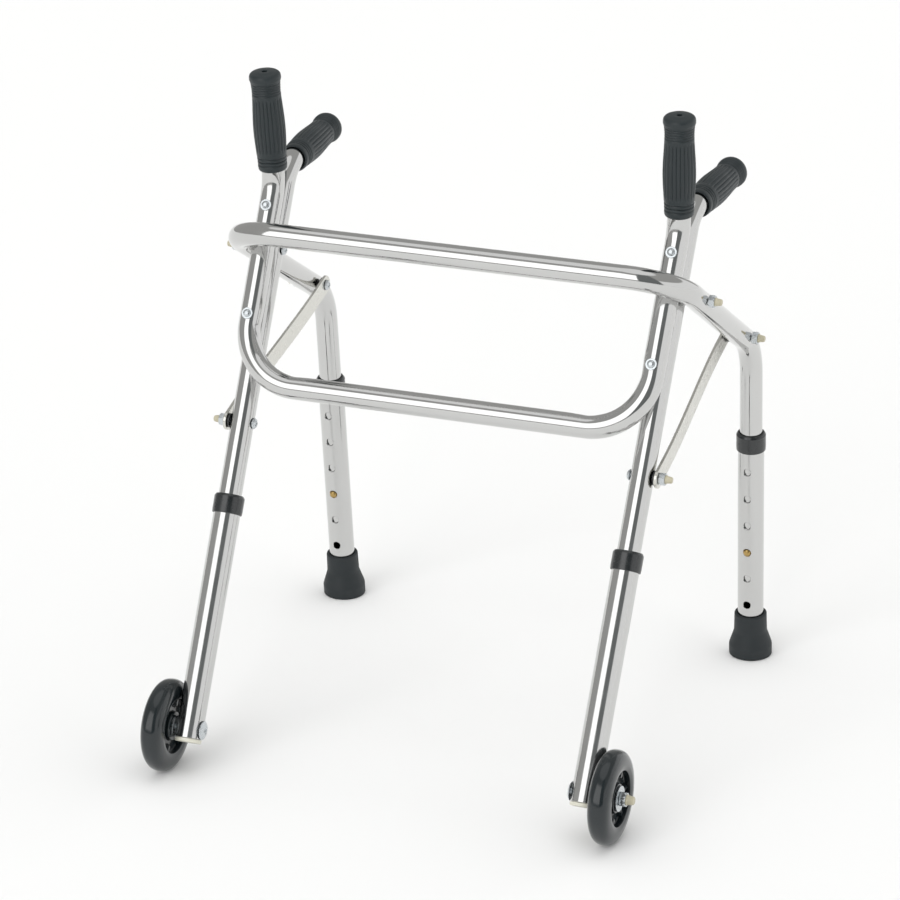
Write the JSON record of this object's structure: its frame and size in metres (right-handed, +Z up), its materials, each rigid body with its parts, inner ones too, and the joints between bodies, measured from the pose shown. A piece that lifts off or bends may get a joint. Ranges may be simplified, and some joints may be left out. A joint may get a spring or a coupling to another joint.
{
  "type": "walking frame",
  "caption": "Child's wheeled walking frame: bent tube sides and crossbars, upright and rear grips, height-adjustable telescopic legs, front wheels, rear rubber feet.",
  "frame": {"origin": "on the floor, in the middle of the frame's footprint", "axes": "+Z up, -Y towards the front wheels, +X towards the user's left"},
  "size_m": [0.4278, 0.4301, 0.5365],
  "materials": {
    "chromed_steel_tube": "polished",
    "satin_aluminium_tube": "satin",
    "black_rubber_grip": "satin",
    "zinc_plated_steel": "satin",
    "black_nylon": "satin",
    "brass_button": "satin",
    "spring_steel": "satin",
    "dark_wheel_plastic": "gloss",
    "cream_plastic": "satin",
    "black_rubber_foot": "matte"
  },
  "bodies": {
    "frame": {"top_frame_tube": "satin_aluminium_tube", "grip_tube": "chromed_steel_tube", "leg_tube_left": "chromed_steel_tube", "leg_tube_right": "chromed_steel_tube", "upright_grip_left": "black_rubber_grip", "upright_grip_right": "black_rubber_grip", "rear_grip_left": "black_rubber_grip", "rear_grip_right": "black_rubber_grip", "stay_left": "satin_aluminium_tube", "stay_right": "satin_aluminium_tube", "main_bolt_left": "zinc_plated_steel", "main_bolt_right": "zinc_plated_steel", "main_nut_left": "zinc_plated_steel", "main_nut_right": "zinc_plated_steel", "stay_foot_bolt_left": "zinc_plated_steel", "stay_foot_bolt_right": "zinc_plated_steel", "stay_foot_nut_left": "zinc_plated_steel", "stay_foot_nut_right": "zinc_plated_steel", "rear_corner_bolt_left": "zinc_plated_steel", "rear_corner_bolt_right": "zinc_plated_steel", "rear_corner_nut_left": "zinc_plated_steel", "rear_corner_nut_right": "zinc_plated_steel", "stay_foot_spacer_left": "black_nylon", "stay_foot_spacer_right": "black_nylon", "rear_corner_spacer_left": "black_nylon", "rear_corner_spacer_right": "black_nylon", "upper_rivet_left": "zinc_plated_steel", "upper_rivet_right": "zinc_plated_steel", "lower_rivet_left": "zinc_plated_steel", "lower_rivet_right": "zinc_plated_steel", "front_button_spring_left": "spring_steel", "front_button_spring_right": "spring_steel", "rear_button_spring_left": "spring_steel", "rear_button_spring_right": "spring_steel"},
    "front_leg_left": {"front_lower_tube_left": "satin_aluminium_tube", "front_collar_left": "black_nylon", "end_plug_left": "cream_plastic", "axle_bolt_left": "zinc_plated_steel", "inner_washer_left": "zinc_plated_steel", "outer_washer_left": "zinc_plated_steel", "axle_nut_left": "zinc_plated_steel"},
    "wheel_left": {"wheel_left": "dark_wheel_plastic"},
    "rear_leg_left": {"rear_lower_tube_left": "satin_aluminium_tube", "rear_collar_left": "black_nylon", "rubber_foot_left": "black_rubber_foot"},
    "front_button_left": {"front_button_left": "brass_button"},
    "rear_button_left": {"rear_button_left": "brass_button"},
    "front_leg_right": {"front_lower_tube_right": "satin_aluminium_tube", "front_collar_right": "black_nylon", "end_plug_right": "cream_plastic", "axle_bolt_right": "zinc_plated_steel", "inner_washer_right": "zinc_plated_steel", "outer_washer_right": "zinc_plated_steel", "axle_nut_right": "zinc_plated_steel"},
    "wheel_right": {"wheel_right": "dark_wheel_plastic"},
    "rear_leg_right": {"rear_lower_tube_right": "satin_aluminium_tube", "rear_collar_right": "black_nylon", "rubber_foot_right": "black_rubber_foot"},
    "front_button_right": {"front_button_right": "brass_button"},
    "rear_button_right": {"rear_button_right": "brass_button"}
  },
  "joints": [
    {"name": "front_leg_height_left", "type": "slide", "parent": "frame", "child": "front_leg_left", "axis": [-0.0091, -0.5, -0.866], "range_m": [-0.0508, 0.0762], "deforming": ["front_button_left"]},
    {"name": "wheel_spin_left", "type": "hinge", "parent": "front_leg_left", "child": "wheel_left", "pos_m": [0.19127, -0.17694, 0.03812], "axis": [1, 0, 0], "continuous": true},
    {"name": "rear_leg_height_left", "type": "slide", "parent": "frame", "child": "rear_leg_left", "axis": [-0.0104, 0.0785, -0.9969], "range_m": [-0.0508, 0.0762], "deforming": ["rear_button_left"]},
    {"name": "front_button_press_left", "type": "slide", "parent": "frame", "child": "front_button_left", "axis": [0, -0.866, 0.5], "range_m": [0, 0.004], "stiffness_N_per_m": 800, "deforming": ["front_button_spring_left"]},
    {"name": "rear_button_press_left", "type": "slide", "parent": "frame", "child": "rear_button_left", "axis": [0, 0.9969, 0.0785], "range_m": [0, 0.004], "stiffness_N_per_m": 800, "deforming": ["rear_button_spring_left"]},
    {"name": "front_leg_height_right", "type": "slide", "parent": "frame", "child": "front_leg_right", "axis": [0.0091, -0.5, -0.866], "range_m": [-0.0508, 0.0762], "deforming": ["front_button_right"]},
    {"name": "wheel_spin_right", "type": "hinge", "parent": "front_leg_right", "child": "wheel_right", "pos_m": [-0.19127, -0.17694, 0.03812], "axis": [1, 0, 0], "continuous": true},
    {"name": "rear_leg_height_right", "type": "slide", "parent": "frame", "child": "rear_leg_right", "axis": [0.0104, 0.0785, -0.9969], "range_m": [-0.0508, 0.0762], "deforming": ["rear_button_right"]},
    {"name": "front_button_press_right", "type": "slide", "parent": "frame", "child": "front_button_right", "axis": [0, -0.866, 0.5], "range_m": [0, 0.004], "stiffness_N_per_m": 800, "deforming": ["front_button_spring_right"]},
    {"name": "rear_button_press_right", "type": "slide", "parent": "frame", "child": "rear_button_right", "axis": [0, 0.9969, 0.0785], "range_m": [0, 0.004], "stiffness_N_per_m": 800, "deforming": ["rear_button_spring_right"]}
  ]
}
